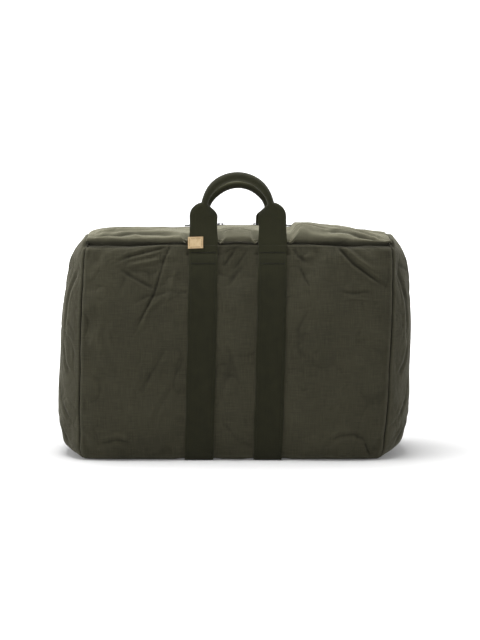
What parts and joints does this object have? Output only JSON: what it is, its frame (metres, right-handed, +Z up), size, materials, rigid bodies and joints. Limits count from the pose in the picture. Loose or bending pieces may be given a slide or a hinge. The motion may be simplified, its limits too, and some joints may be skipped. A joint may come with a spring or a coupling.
{
  "type": "weekender bag",
  "caption": "Soft boxy travel holdall with a zipped crown, full-height webbing straps rising into rolled carrying handles, and a small leather tab",
  "frame": {"origin": "on the floor under the middle of the bag", "axes": "+Z up, +X along the bag's length to the right seen from the front, -Y out of the front"},
  "size_m": [0.574, 0.2444, 0.4462],
  "materials": {
    "shell_cloth": "padded plain-weave cloth, soft sheen, olive brown",
    "webbing": "ribbed cotton webbing, dark olive",
    "lining": "thin plain-weave lining, grey olive",
    "board": "stiff base board",
    "leather": "natural vegetable-tanned leather, light tan",
    "zip_tape": "herringbone zip tape, dark olive",
    "zip_teeth": "coil zip teeth, dark",
    "zip_metal": "dark gunmetal",
    "pull_cloth": "narrow webbing, dark olive",
    "grip_core": "soft cord filling",
    "thread": "polyester sewing thread"
  },
  "bodies": {
    "shell": {"front_panel": "shell_cloth", "rear_panel": "shell_cloth", "bottom_panel": "shell_cloth", "left_end_panel": "shell_cloth", "right_end_panel": "shell_cloth", "lining": "lining", "base_board": "board", "inner_pocket": "lining", "inner_pocket_binding": "webbing", "front_webbing_left": "webbing", "front_webbing_right": "webbing", "rear_webbing_left": "webbing", "rear_webbing_right": "webbing", "base_webbing_left": "webbing", "base_webbing_right": "webbing", "front_bar_tacks": "thread", "rear_bar_tacks": "thread", "zip_end_tabs": "shell_cloth"},
    "top_front": {"top_front_panel": "shell_cloth", "zip_tape_front": "zip_tape", "zip_teeth_front": "zip_teeth"},
    "top_rear": {"top_rear_panel": "shell_cloth", "zip_tape_rear": "zip_tape", "zip_teeth_rear": "zip_teeth"},
    "front_strap_link": {"front_strap_roots": "webbing", "leather_tab": "leather"},
    "front_handle": {"front_handle_webbing": "webbing", "front_handle_core": "grip_core"},
    "rear_strap_link": {"rear_strap_roots": "webbing"},
    "rear_handle": {"rear_handle_webbing": "webbing", "rear_handle_core": "grip_core"},
    "left_slider": {"zip_slider_left": "zip_metal"},
    "left_pull": {"zip_puller_left": "zip_metal", "zip_pull_tab_left": "pull_cloth"},
    "right_slider": {"zip_slider_right": "zip_metal"},
    "right_pull": {"zip_puller_right": "zip_metal", "zip_pull_tab_right": "pull_cloth"}
  },
  "joints": [
    {"name": "top_front_open", "type": "hinge", "parent": "shell", "child": "top_front", "pos_m": [0, -0.1, 0.337], "axis": [1, 0, 0], "range_deg": [0, 60]},
    {"name": "top_rear_open", "type": "hinge", "parent": "shell", "child": "top_rear", "pos_m": [0, 0.1, 0.337], "axis": [-1, 0, 0], "range_deg": [0, 60]},
    {"name": "left_zip_slide", "type": "slide", "parent": "shell", "child": "left_slider", "axis": [-0.9993, 0, -0.0382], "range_m": [0, 0.177]},
    {"name": "right_zip_slide", "type": "slide", "parent": "shell", "child": "right_slider", "axis": [0.9993, 0, -0.0382], "range_m": [0, 0.177]},
    {"name": "left_pull_swing", "type": "hinge", "parent": "left_slider", "child": "left_pull", "pos_m": [-0.02966, 0, 0.36528], "axis": [0, 1, 0], "range_deg": [0, 110]},
    {"name": "right_pull_swing", "type": "hinge", "parent": "right_slider", "child": "right_pull", "pos_m": [0.02966, 0, 0.36528], "axis": [0, -1, 0], "range_deg": [0, 110]},
    {"name": "front_handle_fold_out", "type": "hinge", "parent": "shell", "child": "front_strap_link", "pos_m": [0, -0.1057, 0.3282], "axis": [1, 0, 0], "range_deg": [0, 165]},
    {"name": "front_handle_lean_in", "type": "hinge", "parent": "front_strap_link", "child": "front_handle", "pos_m": [0, -0.1018, 0.3385], "axis": [-1, 0, 0], "range_deg": [0, 50]},
    {"name": "rear_handle_fold_out", "type": "hinge", "parent": "shell", "child": "rear_strap_link", "pos_m": [0, 0.1057, 0.3282], "axis": [-1, 0, 0], "range_deg": [0, 165]},
    {"name": "rear_handle_lean_in", "type": "hinge", "parent": "rear_strap_link", "child": "rear_handle", "pos_m": [0, 0.1018, 0.3385], "axis": [1, 0, 0], "range_deg": [0, 50]}
  ],
  "couplings": [
    {"joint": "top_rear_open", "follows": "top_front_open", "ratio": 1},
    {"joint": "left_zip_slide", "follows": "top_front_open", "m_per_rad": 0.169},
    {"joint": "right_zip_slide", "follows": "top_front_open", "m_per_rad": 0.169}
  ]
}
